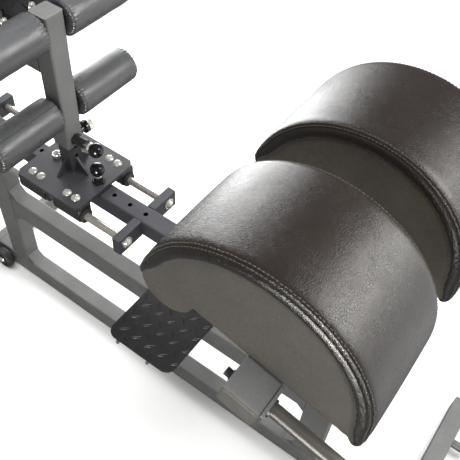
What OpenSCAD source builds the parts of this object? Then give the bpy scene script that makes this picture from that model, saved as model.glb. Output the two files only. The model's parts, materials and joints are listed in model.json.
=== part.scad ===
// Glute-ham bench: a welded spine frame that carries two half-round thigh
// pads, and a foot carriage with four ankle rollers that slides on two rails.
// Millimetres, +Z up, +X from the feet towards the pads, floor at z = 0.

/* [Frame] */
// Width of every frame tube across the bench
tube_w = 50; // [40:1:60]
// Height of the base tube
base_h = 70; // [60:1:80]
// Depth of the main beam and of the two uprights
beam_h = 75; // [60:1:90]
// Corner radius of the square tubes
tube_r = 5; // [3:0.5:7]
// Wall of the square tubes
tube_wall = 3; // [2:0.5:4]
// Length of the base, over both foot tubes
base_len = 1592; // [1592:2:1700]
// Depth of the rear foot tube along the bench
rear_foot_d = 30; // [25:1:50]
// Length of the front foot tube
front_foot_len = 800; // [700:10:1000]
// Length of the rear foot tube
rear_foot_len = 588; // [400:10:700]
// Underside of the main beam above the floor
main_beam_z = 317; // [280:1:350]
// Top of the carriage beam above the floor
rail_beam_top = 674; // [640:1:700]

/* [Carriage] */
// Distance between two index holes
index_pitch = 50; // [40:5:60]
// Diameter of an index hole
index_hole_d = 12; // [11:0.5:14]
// Diameter of the two guide rails
rail_d = 20; // [16:1:25]
// Distance of each rail from the centre plane
rail_y = 78; // [70:1:90]
// Length and width of the carriage plate
plate_len = 206; // [190:2:220]
// Thickness of the carriage plate
plate_t = 10; // [8:1:12]

/* [Foot post] */
// Top of the foot post above the floor
post_top = 1130; // [1125:1:1160]
// Height of the upper roller axis
upper_roller_z = 1097; // [1090:1:1105]
// Height of the lower roller axis
lower_roller_z = 882; // [875:1:890]
// Diameter of an ankle roller
roller_d = 90; // [80:1:92]
// Length of an ankle roller
roller_len = 186; // [170:1:190]
// Distance between two height holes in the stub
post_pitch = 30; // [25:5:30]

/* [Pads] */
// Radius of the half-round pad
pad_r = 228; // [215:1:230]
// Width of one pad
pad_w = 243; // [230:1:246]
// Gap between the two pads
pad_gap = 100; // [80:1:102]
// Downward tilt of the pads towards the front, in degrees
pad_tilt = 14; // [8:1:18]

/* [Hidden] */

// Hair gap that keeps two solids of one body from sharing a curved face
gap = 0.1;
// Radial clearance of every running fit
fit = 0.06;
// Segments of a full circle
$fn = 48;

// Frame positions: x = 0 lies midway between the rear foot and the band pegs
peg_reach = 52;
peg_cap_t = 6;
peg_d = 25;
peg_y = 280;
peg_z = 39;
foot_w = tube_w;
rear_x = -(base_len + peg_reach) / 2;
front_x = rear_x + base_len;
foot_z = 4;
base_top = foot_z + base_h;
leg_x = -721;
leg_front = leg_x + beam_h;
upright_x = 400;
rail_beam_z = rail_beam_top - tube_w;
rail_z = rail_beam_top - tube_w / 2;

// Rail brackets
bracket_t = 22;
bracket_reach = 104;
rear_bracket_x = -715;
front_bracket_x = -137;
rail_start = rear_bracket_x + bracket_t;
rail_len = front_bracket_x - rail_start;
rail_bolt_d = 12;
rail_tap = 24;

// Index holes: the pin stands in hole number 4, counted from the rear
index_holes = 8;
pin_hole = 4;
pin_x = -272;
first_hole_x = pin_x - pin_hole * index_pitch;

// Carriage plate and its bearing blocks
plate_x = -350;
plate_z = rail_beam_top + 7;
plate_top = plate_z + plate_t;
plate_w = plate_len;
plate_chamfer = 12;
block_len = 86;
block_w = 42;
block_bottom = 633;
block_chamfer = 10;
block_dx = 58;
seal_d = 38;
seal_t = 5;
block_bolt_d = 8;
block_bolt_dx = 14;
block_bolt_y = 75;
post_x = -358;
pin_d = 10;
pin_depth = 14;
barrel_d = 22;
barrel_top = plate_top + 17;
knob_d = 36;
knob_neck = 4;
index_knob_z = 731;
stop_x = -413;

// Foot post, its stub and the pieces on it
stub_w = 40;
stub_top = 1105;
gusset_t = 6;
gusset_len = 35;
collar_z = 776;
post_z = 818;
bush_len = 36;
plunger_z = 798;
post_knob_x = -267;
post_hole_d = 12;
height_holes = 7;
arm_h = 75;
arm_z = 977;
arm_back = -461;
flange_t = 6;
foot_plate_t = 6;
foot_plate_w = 344;
foot_plate_z = 975;
foot_plate_top = 1250;
foot_flange_z = 970;
foot_flange_h = 210;
foot_bolt_d = 10;
foot_bolt_y = 39;
foot_bolt_low = 1083;
foot_bolt_high = 1160;
foot_slot_w = 14;
foot_slot_rise = 22;
axle_d = 20;
core_d = 28;
roller_y = 30;
axle_len = roller_y + roller_len + 1 - tube_w / 2;
axle_cap_d = 44;
clamp_x = -350;
clamp_z = 792;
clamp_d = 8;

// Pads: local frame at the centre of the half disc, tilted about Y
pad_x = 342;
pad_z = 931;
pad_base = -4;
pad_nose_r = 52;
pad_arc_u = 9;
pad_nose_u = -163;
pad_nose_w = -10;
pad_toe_r = 15;
pad_mid_y = (pad_gap + pad_w) / 2;
pad_plate_t = 6;
board_t = 12;
board_u0 = -96;
board_u1 = 180;
board_margin = 20;
pad_bolt_d = 10;
pad_bolt_y = 45;
cross_u = 50;
cross_top = pad_base - pad_plate_t;
cross_bottom = cross_top - tube_w;
cross_len = 700;
head_t = 8;
head_u0 = 5;
head_u1 = 156;
head_w = 120;
handle_y = 317;
handle_d = 27;
handle_len = 222;
flange_w = 68;

// Step and transport wheels
main_top = main_beam_z + beam_h;
step_x = -108;
step_len = 207;
step_w = 384;
step_t = 5;
step_r = 28;
arm_reach = 171;
arm_drop = 45;
arm_x = [-72, 26];
head_gusset_z = 720;
wedge = 26;
wedge_w = 42;
wheel_d = 72;
wheel_x = -748;
wheel_z = 38;
wheel_t = 27;
wheel_y = 33;
wheel_bolt_d = 12;

// ---------- shapes that repeat ----------

module round_rect(a, b, r) {
    square([a - 2 * r, b], center = true);
    square([a, b - 2 * r], center = true);
    for (i = [-1, 1], j = [-1, 1])
        translate([i * (a / 2 - r), j * (b / 2 - r)])
            circle(r = r, $fn = 24);
}

module tube_section(a, b) {
    difference() {
        round_rect(a, b, tube_r);
        round_rect(a - 2 * tube_wall, b - 2 * tube_wall, tube_r - tube_wall);
    }
}

// Tube along X from x0 to x1 with its underside at z0
module tube_x(x0, x1, z0, w, h) {
    translate([x0, 0, z0 + h / 2])
        rotate([90, 0, 90])
            linear_extrude(x1 - x0) tube_section(w, h);
}

// Tube along Y, centred on y = 0, with its lowest corner at x0, z0
module tube_y(len, x0, z0, w, h) {
    translate([x0 + w / 2, len / 2, z0 + h / 2])
        rotate([90, 0, 0])
            linear_extrude(len) tube_section(w, h);
}

// Tube along Z between z0 and z1
module tube_z(x, z0, z1, wx, wy) {
    translate([x, 0, z0])
        linear_extrude(z1 - z0) tube_section(wx, wy);
}

// Button-head screw along +Z: head above z = 0, shank below
module button_screw(d, head_d, head_h, len) {
    dome_r = (head_d * head_d / 4 + head_h * head_h) / (2 * head_h);
    difference() {
        union() {
            intersection() {
                translate([0, 0, head_h - dome_r]) sphere(r = dome_r);
                cylinder(d = head_d, h = head_h);
            }
            translate([0, 0, -len]) cylinder(d = d, h = len + head_h / 2);
        }
        translate([0, 0, head_h * 0.35]) cylinder(d = d * 0.75, h = head_h, $fn = 6);
    }
}

// Hexagon-head screw along +Z: head above z = 0, shank below
module hex_screw(d, len) {
    cylinder(d = d * 1.8, h = d * 0.65, $fn = 6);
    translate([0, 0, -len]) cylinder(d = d, h = len + 1);
}

// Domed plastic cap that closes a tube end, along +Z
module end_cap(a, b) {
    linear_extrude(3) round_rect(a, b, tube_r);
    translate([0, 0, 3]) linear_extrude(3) round_rect(a - 5, b - 5, tube_r - 1);
    translate([0, 0, -14])
        linear_extrude(14)
            round_rect(a - 2 * tube_wall - 0.6, b - 2 * tube_wall - 0.6, 1.6);
}

// Places children in the tilted frame of the pads
module pad_frame() {
    translate([pad_x, 0, pad_z]) rotate([0, pad_tilt, 0]) children();
}

module both_sides() {
    children();
    mirror([0, 1, 0]) children();
}

// ---------- welded frame ----------

module base_tube() color("dimgray")
    tube_x(rear_x + rear_foot_d, front_x - foot_w, foot_z, tube_w, base_h);

module rear_foot_tube() color("dimgray")
    tube_y(rear_foot_len, rear_x, foot_z, rear_foot_d, base_h);

module front_foot_tube() color("dimgray")
    tube_y(front_foot_len, front_x - foot_w, foot_z, foot_w, base_h);

module foot_end_caps() color("black")
    both_sides() {
        translate([rear_x + rear_foot_d / 2, rear_foot_len / 2, foot_z + base_h / 2])
            rotate([-90, 0, 0]) end_cap(rear_foot_d, base_h);
        translate([front_x - foot_w / 2, front_foot_len / 2, foot_z + base_h / 2])
            rotate([-90, 0, 0]) end_cap(foot_w, base_h);
    }

module rubber_foot(x, width, y)
    translate([x + 4, y - 70, 0]) cube([width - 8, 60, foot_z]);

module rubber_feet() color("black")
    both_sides() {
        rubber_foot(rear_x, rear_foot_d, rear_foot_len / 2);
        rubber_foot(front_x - foot_w, foot_w, front_foot_len / 2);
    }

// Short bars on the front foot that take the loop of a resistance band
module band_pegs() color("dimgray")
    both_sides()
        translate([front_x, peg_y, peg_z])
            rotate([0, 90, 0]) {
                cylinder(d = peg_d, h = peg_reach);
                translate([0, 0, peg_reach - peg_cap_t]) cylinder(d = peg_d + 7, h = peg_cap_t);
            }

module rear_leg() color("dimgray")
    tube_z(leg_x + beam_h / 2, base_top, rail_beam_z, beam_h, tube_w);

module front_upright() color("dimgray")
    difference() {
        tube_z(upright_x + beam_h / 2, base_top, pad_z, beam_h, tube_w);
        pad_frame()
            translate([-200, -100, cross_bottom - head_t]) cube([500, 200, 400]);
    }

module main_beam() color("dimgray")
    tube_x(leg_front, upright_x, main_beam_z, tube_w, beam_h);

module carriage_beam() color("darkslategray")
    difference() {
        tube_x(leg_x, upright_x, rail_beam_z, tube_w, tube_w);
        for (i = [0 : index_holes - 1])
            translate([first_hole_x + i * index_pitch, 0, rail_beam_top - 10])
                cylinder(d = index_hole_d, h = 20);
    }

module tube_end_caps() color("gray") {
    translate([leg_x, 0, rail_z])
        rotate([90, 0, -90]) end_cap(tube_w, tube_w);
    pad_frame()
        both_sides()
            translate([cross_u, cross_len / 2, cross_top - tube_w / 2])
                rotate([-90, 0, 0]) end_cap(beam_h, tube_w);
}

// ---------- rails ----------

module rail_brackets() color("darkslategray")
    both_sides()
        for (x = [rear_bracket_x, front_bracket_x])
            difference() {
                translate([x, tube_w / 2, rail_beam_z])
                    cube([bracket_t, bracket_reach - tube_w / 2, tube_w]);
                translate([x - 1, rail_y, rail_z])
                    rotate([0, 90, 0]) cylinder(d = rail_bolt_d + 1, h = bracket_t + 2);
            }

module rail(side)
    translate([rail_start, side * rail_y, rail_z])
        rotate([0, 90, 0])
            difference() {
                cylinder(d = rail_d, h = rail_len);
                for (z = [-1, rail_len - rail_tap])
                    translate([0, 0, z])
                        cylinder(d = rail_bolt_d + 2 * gap, h = rail_tap + 1);
            }

module left_rail() color("silver") rail(1);
module right_rail() color("silver") rail(-1);

// Each bolt has a plain washer under its head
module rail_bolt() {
    difference() {
        cylinder(d = 30, h = 2.5);
        translate([0, 0, -1]) cylinder(d = rail_bolt_d + 1, h = 5);
    }
    translate([0, 0, 2.5])
        button_screw(rail_bolt_d, 24, 8, bracket_t + 2.5 + rail_tap - 4);
}

module rail_bolts() color("silver")
    both_sides() {
        translate([front_bracket_x + bracket_t, rail_y, rail_z])
            rotate([0, 90, 0]) rail_bolt();
        translate([rear_bracket_x, rail_y, rail_z])
            rotate([0, -90, 0]) rail_bolt();
    }

// ---------- step ----------

module step_plate() color("black")
    translate([step_x + step_len / 2, 0, main_top])
        linear_extrude(step_t) round_rect(step_len, step_w, step_r);

// Flat arms welded to the sides of the beam hold the plate from below
module step_arms()
    both_sides()
        for (x = arm_x)
            translate([x, tube_w / 2, main_top])
                rotate([90, 0, 90])
                    linear_extrude(gusset_t)
                        polygon([[0, -arm_drop], [12, -arm_drop], [arm_reach, -10],
                            [arm_reach, 0], [0, 0]]);

// Wedge in the corner between a beam and an upright; along and rise are the ways it points
module corner_wedge(x, z, along, rise)
    translate([x, wedge_w / 2, z])
        rotate([90, 0, 0])
            linear_extrude(wedge_w) polygon([[0, 0], [along * wedge, 0], [0, rise * wedge]]);

// Plates on both sides of the upright, under the head plate
module head_gussets()
    both_sides()
        difference() {
            translate([upright_x, 24, head_gusset_z])
                rotate([90, 0, 0])
                    linear_extrude(gusset_t)
                        polygon([[0, 0], [0, 200], [-60, 200], [-60, 110]]);
            above_head();
        }

module frame_gussets() color("dimgray") {
    step_arms();
    head_gussets();
    for (place = [[base_top, 1], [main_beam_z, -1], [main_top, 1]]) {
        corner_wedge(leg_front, place[0], 1, place[1]);
        corner_wedge(upright_x, place[0], -1, place[1]);
    }
}

// ---------- pads ----------

// Everything above the head plate's underside, to cut what stands below it
module above_head()
    pad_frame() translate([-300, -100, cross_bottom - head_t]) cube([700, 200, 400]);

module head_plate() color("dimgray")
    pad_frame()
        translate([head_u0, -head_w / 2, cross_bottom - head_t])
            cube([head_u1 - head_u0, head_w, head_t]);

module pad_cross_tube() color("dimgray")
    pad_frame()
        tube_y(cross_len, cross_u - beam_h / 2, cross_bottom, beam_h, tube_w);

// Half disc on a flat base, with a rounded toe and a nose that hangs below it
module pad_profile() {
    toe_u = sqrt(pow(pad_r - pad_toe_r, 2) - pow(pad_toe_r + pad_base, 2));
    translate([pad_arc_u, 0]) {
        intersection() {
            circle(r = pad_r, $fn = 96);
            translate([-pad_r, pad_base]) square([pad_r + toe_u, 2 * pad_r]);
        }
        intersection() {
            circle(r = pad_r, $fn = 96);
            translate([-pad_r, pad_base + pad_toe_r]) square([2 * pad_r, 2 * pad_r]);
        }
        translate([toe_u, pad_base + pad_toe_r]) circle(r = pad_toe_r);
    }
    translate([pad_nose_u, pad_nose_w]) circle(r = pad_nose_r);
}

module pad(side)
    difference() {
        pad_frame()
            translate([0, side * pad_mid_y + pad_w / 2, 0])
                rotate([90, 0, 0]) linear_extrude(pad_w) pad_profile();
        pad_board(side, gap);
    }

module pad_board(side, grow)
    pad_frame()
        translate([(board_u0 + board_u1) / 2, side * pad_mid_y, pad_base - grow])
            linear_extrude(board_t + 2 * grow)
                round_rect(board_u1 - board_u0 + 2 * grow, pad_w - 2 * board_margin + 2 * grow, 12);

module pad_boards() color("peru")
    for (side = [-1, 1])
        difference() {
            pad_board(side, 0);
            pad_bolt_places(side)
                translate([0, 0, -1]) cylinder(d = pad_bolt_d + 2 * gap, h = board_t + 2);
        }

module left_pad() color("black") pad(1);
module right_pad() color("black") pad(-1);

// Bolt places on the board's underside
module pad_bolt_places(side)
    pad_frame()
        for (y = [-pad_bolt_y, pad_bolt_y])
            translate([cross_u, side * pad_mid_y + y, pad_base]) children();

// Flat steel plates between the cross tube and the boards
module pad_plates() color("gray")
    for (side = [-1, 1])
        difference() {
            pad_frame()
                translate([cross_u, side * pad_mid_y, cross_top])
                    linear_extrude(pad_plate_t) round_rect(110, 150, 6);
            pad_bolt_places(side)
                translate([0, 0, -pad_plate_t - 1]) cylinder(d = pad_bolt_d + 1, h = 20);
        }

// Short screws from inside the plate up into the board
module pad_bolts() color("silver")
    for (side = [-1, 1])
        pad_bolt_places(side)
            translate([0, 0, -pad_plate_t]) cylinder(d = pad_bolt_d, h = pad_plate_t + board_t - 1);

handle_root = cross_u + beam_h / 2 + flange_t;

// Bars that stand square on the flanges of the cross tube
module handle(side)
    pad_frame()
        translate([handle_root, side * handle_y, cross_bottom + tube_w / 2])
            rotate([0, 90, 0]) {
                cylinder(d = handle_d, h = handle_len);
                translate([0, 0, handle_len]) cylinder(d = handle_d - 5, h = 3);
                cylinder(d = handle_d + 8, h = 6);
            }

module left_handle() color("dimgray") handle(1);
module right_handle() color("dimgray") handle(-1);

module handle_flanges() color("gray")
    pad_frame()
        both_sides()
            translate([cross_u + beam_h / 2, handle_y, cross_bottom + tube_w / 2])
                rotate([90, 0, 90]) linear_extrude(flange_t) round_rect(flange_w, tube_w, 4);

// Socket screws with washers on the back of the cross tube
module flange_bolts() color("black")
    pad_frame()
        both_sides()
            translate([cross_u - beam_h / 2, handle_y, cross_bottom + tube_w / 2])
                rotate([0, -90, 0]) {
                    cylinder(d = 20, h = 2);
                    difference() {
                        translate([0, 0, 2]) cylinder(d = 16, h = 11);
                        translate([0, 0, 7]) cylinder(d = 8, h = 10, $fn = 6);
                    }
                }

// ---------- transport wheels ----------

module wheel_bolts() color("silver")
    both_sides()
        translate([wheel_x, tube_w / 2, wheel_z])
            rotate([-90, 0, 0]) {
                cylinder(d = 22, h = wheel_y - tube_w / 2 - 0.5);
                translate([0, 0, wheel_y - tube_w / 2 + wheel_t + 0.5])
                    button_screw(wheel_bolt_d, 24, 7, wheel_t + 7);
            }

module wheel(side)
    translate([wheel_x, side * wheel_y, wheel_z])
        rotate([-side * 90, 0, 0])
            difference() {
                rotate_extrude()
                    polygon([[0, 0], [wheel_d / 2 - 3, 0], [wheel_d / 2, 4],
                        [wheel_d / 2, wheel_t - 4], [wheel_d / 2 - 3, wheel_t], [0, wheel_t]]);
                translate([0, 0, -1]) cylinder(d = wheel_bolt_d + 2 * fit, h = wheel_t + 2);
                translate([0, 0, wheel_t - 3])
                    difference() {
                        cylinder(d = wheel_d - 18, h = 5);
                        translate([0, 0, -1]) cylinder(d = 28, h = 7);
                    }
            }

module left_wheel() color("black") wheel(1);
module right_wheel() color("black") wheel(-1);

// ---------- carriage ----------

module carriage_plate() color("darkslategray")
    difference() {
        translate([plate_x, 0, plate_z])
            linear_extrude(plate_t)
                polygon([for (q = [[1, 1, 0], [1, 1, 1], [-1, 1, 1], [-1, 1, 0],
                                   [-1, -1, 0], [-1, -1, 1], [1, -1, 1], [1, -1, 0]])
                    [q[0] * (plate_len / 2 - plate_chamfer * q[2]),
                     q[1] * (plate_w / 2 - plate_chamfer * (1 - q[2]))]]);
        translate([pin_x, 0, plate_z - 1]) cylinder(d = barrel_d + 2 * gap, h = plate_t + 2);
        block_bolt_places()
            translate([0, 0, plate_z - 1]) cylinder(d = block_bolt_d + 1, h = plate_t + 2);
    }

module block_bolt_places()
    both_sides()
        for (i = [-1, 1], j = [-1, 1])
            translate([plate_x + i * block_dx + j * block_bolt_dx, block_bolt_y, 0]) children();

module block_profile() {
    half = block_w / 2;
    top = plate_z - rail_z;
    low = block_bottom - rail_z;
    polygon([[-half, top], [half, top], [half, low + block_chamfer], [half - block_chamfer, low],
        [block_chamfer - half, low], [-half, low + block_chamfer]]);
}

module bearing_blocks() color("black")
    both_sides()
        for (i = [-1, 1])
            translate([plate_x + i * block_dx, rail_y, rail_z])
                difference() {
                    translate([-block_len / 2, 0, 0])
                        rotate([90, 0, 90]) linear_extrude(block_len) block_profile();
                    translate([-block_len, 0, 0])
                        rotate([0, 90, 0]) cylinder(d = rail_d + 2 * fit, h = 2 * block_len);
                    for (j = [-1, 1])
                        translate([j * block_bolt_dx, block_bolt_y - rail_y, plate_z - rail_z - 11])
                            cylinder(d = block_bolt_d + 2 * gap, h = 20);
                }

module block_seals() color("black")
    both_sides()
        for (i = [-1, 1], j = [0, 1])
            translate([plate_x + i * block_dx + (j - 0.5) * block_len - (1 - j) * seal_t,
                    rail_y, rail_z])
                rotate([0, 90, 0])
                    difference() {
                        cylinder(d = seal_d, h = seal_t);
                        translate([0, 0, -1]) cylinder(d = rail_d + 2 * fit, h = seal_t + 2);
                    }

module carriage_bolts() color("silver")
    block_bolt_places()
        translate([0, 0, plate_top]) button_screw(block_bolt_d, 23, 7, plate_t + 10);

module stub_gusset()
    rotate([90, 0, 0])
        translate([stub_w / 2, 0, -gusset_t / 2])
            linear_extrude(gusset_t) polygon([[0, 0], [gusset_len, 0], [0, gusset_len + 5]]);

module post_stub() color("darkslategray")
    difference() {
        union() {
            tube_z(post_x, plate_top, stub_top, stub_w, stub_w);
            translate([post_x, 0, plate_top])
                for (a = [-90, 0, 90]) rotate([0, 0, a]) stub_gusset();
        }
        for (i = [-2 : height_holes - 1])
            translate([post_x, 0, plunger_z + i * post_pitch])
                rotate([0, 90, 0]) cylinder(d = post_hole_d, h = 60);
    }

module stop_bolt() color("silver")
    translate([stop_x, 0, plate_top]) {
        cylinder(d = 24, h = 9);
        translate([0, 0, 9]) button_screw(10, 20, 7, 5);
    }

// Threaded housing of the index pin with its lock nut
module index_barrel() color("black")
    translate([pin_x, 0, 0])
        difference() {
            union() {
                translate([0, 0, plate_z]) cylinder(d = barrel_d, h = barrel_top - plate_z);
                translate([0, 0, plate_top]) cylinder(d = 34, h = 7, $fn = 6);
            }
            translate([0, 0, plate_z - 1]) cylinder(d = pin_d + 2 * fit, h = 40);
        }

module index_pin() color("silver")
    translate([pin_x, 0, rail_beam_top - pin_depth])
        cylinder(d = pin_d, h = index_knob_z - rail_beam_top + pin_depth - 4);

module knob()
    difference() {
        union() {
            sphere(d = knob_d);
            translate([0, 0, -knob_d / 2 - knob_neck]) cylinder(d = 18, h = 8, $fn = 6);
        }
        translate([0, 0, -knob_d / 2 - 10]) cylinder(d = pin_d + 2 * gap, h = 10 + knob_d / 2 - 3.9);
    }

module index_knob() color("black")
    translate([pin_x, 0, index_knob_z]) knob();

// ---------- foot post ----------

module foot_post() color("dimgray") {
    tube_z(post_x, post_z, post_top - tube_wall, tube_w, tube_w);
    translate([post_x, 0, post_top - tube_wall]) linear_extrude(tube_wall) round_rect(tube_w, tube_w, tube_r);
}

// Steel collar under the post: it holds the pull pin and the clamp screw
module post_collar() color("dimgray")
    difference() {
        translate([post_x, 0, collar_z])
            linear_extrude(post_z - collar_z)
                difference() {
                    round_rect(tube_w, tube_w, tube_r);
                    round_rect(stub_w + 1, stub_w + 1, tube_r + 0.5);
                }
        translate([post_x, 0, plunger_z])
            rotate([0, 90, 0]) cylinder(d = 16 + 2 * gap, h = tube_w);
        translate([clamp_x, 0, clamp_z])
            rotate([-90, 0, 0]) cylinder(d = clamp_d + 2 * fit, h = tube_w);
    }

module post_bush() color("black")
    translate([post_x, 0, post_z])
        linear_extrude(bush_len)
            difference() {
                round_rect(tube_w - 2 * tube_wall - 0.2, tube_w - 2 * tube_wall - 0.2, 1.8);
                round_rect(stub_w + 1, stub_w + 1, tube_r + 0.5);
            }

arm_mid_z = arm_z + arm_h / 2;

module foot_bolt_places()
    for (y = [-foot_bolt_y, foot_bolt_y], z = [foot_bolt_low, foot_bolt_high])
        translate([arm_back, y, z]) children();

module post_arm() color("dimgray")
    difference() {
        union() {
            translate([arm_back, 0, arm_mid_z])
                rotate([90, 0, 90])
                    linear_extrude(post_x - tube_w / 2 - arm_back) tube_section(tube_w, arm_h);
            translate([arm_back, 0, foot_flange_z + foot_flange_h / 2])
                rotate([90, 0, 90]) linear_extrude(flange_t) round_rect(118, foot_flange_h, 8);
        }
        foot_bolt_places()
            translate([-1, 0, 0]) rotate([0, 90, 0]) cylinder(d = foot_bolt_d + 1, h = flange_t + 2);
    }

// Sole plate on the front of the arm's flange: notched over the arm, slotted for its bolts
module foot_plate() color("black")
    difference() {
        translate([arm_back + flange_t, 0, (foot_plate_z + foot_plate_top) / 2])
            rotate([90, 0, 90])
                linear_extrude(foot_plate_t)
                    difference() {
                        round_rect(foot_plate_w, foot_plate_top - foot_plate_z, 24);
                        translate([0, arm_z + arm_h - foot_plate_top / 2 - foot_plate_z / 2 + 4 - 75])
                            square([tube_w + 4, 150], center = true);
                    }
        foot_bolt_places()
            translate([flange_t - 1, 0, 0]) {
                for (z = [0, foot_slot_rise])
                    translate([0, 0, z])
                        rotate([0, 90, 0]) cylinder(d = foot_slot_w, h = foot_plate_t + 2);
                translate([0, -foot_slot_w / 2, 0])
                    cube([foot_plate_t + 2, foot_slot_w, foot_slot_rise]);
            }
    }

module foot_plate_bolts() color("silver")
    foot_bolt_places()
        translate([flange_t + foot_plate_t, 0, 0])
            rotate([0, 90, 0]) button_screw(foot_bolt_d, 20, 6, flange_t + foot_plate_t);

// Threaded housing of the post's pull pin, with its lock nut
module post_barrel() color("black")
    translate([post_x, 0, plunger_z])
        rotate([0, 90, 0])
            difference() {
                union() {
                    translate([0, 0, stub_w / 2 + 0.6]) cylinder(d = 16, h = 20);
                    translate([0, 0, tube_w / 2]) cylinder(d = 30, h = 7, $fn = 6);
                    translate([0, 0, tube_w / 2 + 7]) cylinder(d = 24, h = 28);
                }
                cylinder(d = pin_d + 2 * fit, h = 80);
            }

module post_pin() color("silver")
    translate([post_x + stub_w / 2 - pin_depth, 0, plunger_z])
        rotate([0, 90, 0]) cylinder(d = pin_d, h = post_knob_x - post_x - stub_w / 2 + pin_depth - 4);

module post_knob() color("black")
    translate([post_knob_x, 0, plunger_z]) rotate([0, 90, 0]) knob();

// Hand screw that takes up the play between the post and the stub
module clamp_knob() color("silver")
    translate([clamp_x, 0, clamp_z])
        rotate([-90, 0, 0]) {
            translate([0, 0, stub_w / 2 + 0.6]) cylinder(d = clamp_d, h = 12);
            translate([0, 0, tube_w / 2 + 1]) cylinder(d = 18, h = 16);
            translate([0, 0, tube_w / 2 + 15]) cylinder(d = 34, h = 26);
        }

module axle_places()
    both_sides()
        for (z = [lower_roller_z, upper_roller_z])
            translate([post_x, tube_w / 2, z]) rotate([-90, 0, 0]) children();

module roller_axles() color("silver")
    axle_places() {
        cylinder(d = axle_d, h = axle_len);
        cylinder(d = axle_d + 14, h = 4);
    }

// Domed discs that keep the rollers on their axles
module axle_caps() color("silver")
    axle_places()
        translate([0, 0, axle_len]) {
            cylinder(d = axle_cap_d, h = 3);
            translate([0, 0, 3]) cylinder(d1 = axle_cap_d, d2 = axle_cap_d - 10, h = 3);
        }

module roller_at(side, z)
    translate([post_x, side * roller_y, z])
        rotate([-side * 90, 0, 0]) children();

module core()
    difference() {
        cylinder(d = core_d, h = roller_len);
        translate([0, 0, -1]) cylinder(d = axle_d + 2 * fit, h = roller_len + 2);
    }

// Foam sleeve with rolled ends
module roller()
    rotate_extrude()
        polygon([[core_d / 2 + gap, 4], [roller_d / 2 - 10, 0], [roller_d / 2 - 3, 3],
            [roller_d / 2, 10], [roller_d / 2, roller_len - 10],
            [roller_d / 2 - 3, roller_len - 3], [roller_d / 2 - 10, roller_len],
            [core_d / 2 + gap, roller_len - 4]]);

module upper_left_core() color("dimgray") roller_at(1, upper_roller_z) core();
module upper_right_core() color("dimgray") roller_at(-1, upper_roller_z) core();
module lower_left_core() color("dimgray") roller_at(1, lower_roller_z) core();
module lower_right_core() color("dimgray") roller_at(-1, lower_roller_z) core();
module upper_left_roller() color("dimgray") roller_at(1, upper_roller_z) roller();
module upper_right_roller() color("dimgray") roller_at(-1, upper_roller_z) roller();
module lower_left_roller() color("dimgray") roller_at(1, lower_roller_z) roller();
module lower_right_roller() color("dimgray") roller_at(-1, lower_roller_z) roller();

base_tube();
rear_foot_tube();
front_foot_tube();
foot_end_caps();
rubber_feet();
band_pegs();
rear_leg();
front_upright();
main_beam();
carriage_beam();
tube_end_caps();
rail_brackets();
left_rail();
right_rail();
rail_bolts();
step_plate();
frame_gussets();
head_plate();
pad_cross_tube();
pad_plates();
pad_boards();
left_pad();
right_pad();
pad_bolts();
left_handle();
right_handle();
handle_flanges();
flange_bolts();
wheel_bolts();
left_wheel();
right_wheel();
carriage_plate();
bearing_blocks();
block_seals();
carriage_bolts();
post_stub();
stop_bolt();
index_barrel();
index_pin();
index_knob();
foot_post();
post_collar();
post_bush();
post_arm();
foot_plate();
foot_plate_bolts();
post_barrel();
roller_axles();
axle_caps();
post_pin();
post_knob();
clamp_knob();
upper_left_core();
upper_right_core();
lower_left_core();
lower_right_core();
upper_left_roller();
upper_right_roller();
lower_left_roller();
lower_right_roller();
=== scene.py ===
"""Looks of the glute-ham bench: leather pads, vinyl rollers, tread plates, welds and every material."""

import json
from math import atan2, ceil, cos, hypot, pi, radians, sin, tau

import bmesh
import bpy
import numpy as np
from mathutils import Matrix, Vector, noise
from mathutils.bvhtree import BVHTree


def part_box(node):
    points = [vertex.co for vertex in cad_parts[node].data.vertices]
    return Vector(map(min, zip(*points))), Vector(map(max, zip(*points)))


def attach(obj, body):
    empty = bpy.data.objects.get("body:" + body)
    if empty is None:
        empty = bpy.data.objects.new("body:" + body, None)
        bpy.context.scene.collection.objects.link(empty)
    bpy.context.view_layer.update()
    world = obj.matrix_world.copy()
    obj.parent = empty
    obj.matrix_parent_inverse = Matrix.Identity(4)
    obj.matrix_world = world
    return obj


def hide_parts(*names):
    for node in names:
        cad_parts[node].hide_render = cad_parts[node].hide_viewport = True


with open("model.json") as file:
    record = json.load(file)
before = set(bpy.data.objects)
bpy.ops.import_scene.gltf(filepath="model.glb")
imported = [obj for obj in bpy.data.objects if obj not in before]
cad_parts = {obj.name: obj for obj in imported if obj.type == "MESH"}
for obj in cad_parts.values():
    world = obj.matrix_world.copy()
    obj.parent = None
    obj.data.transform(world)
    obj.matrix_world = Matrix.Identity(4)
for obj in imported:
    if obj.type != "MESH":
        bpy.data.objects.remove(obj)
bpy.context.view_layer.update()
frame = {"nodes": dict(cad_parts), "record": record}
nodes = frame["nodes"]
scene = bpy.context.scene
MM = 0.001
LEFT, RIGHT = 1, -1


# ---------------------------------------------------------------- materials

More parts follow.
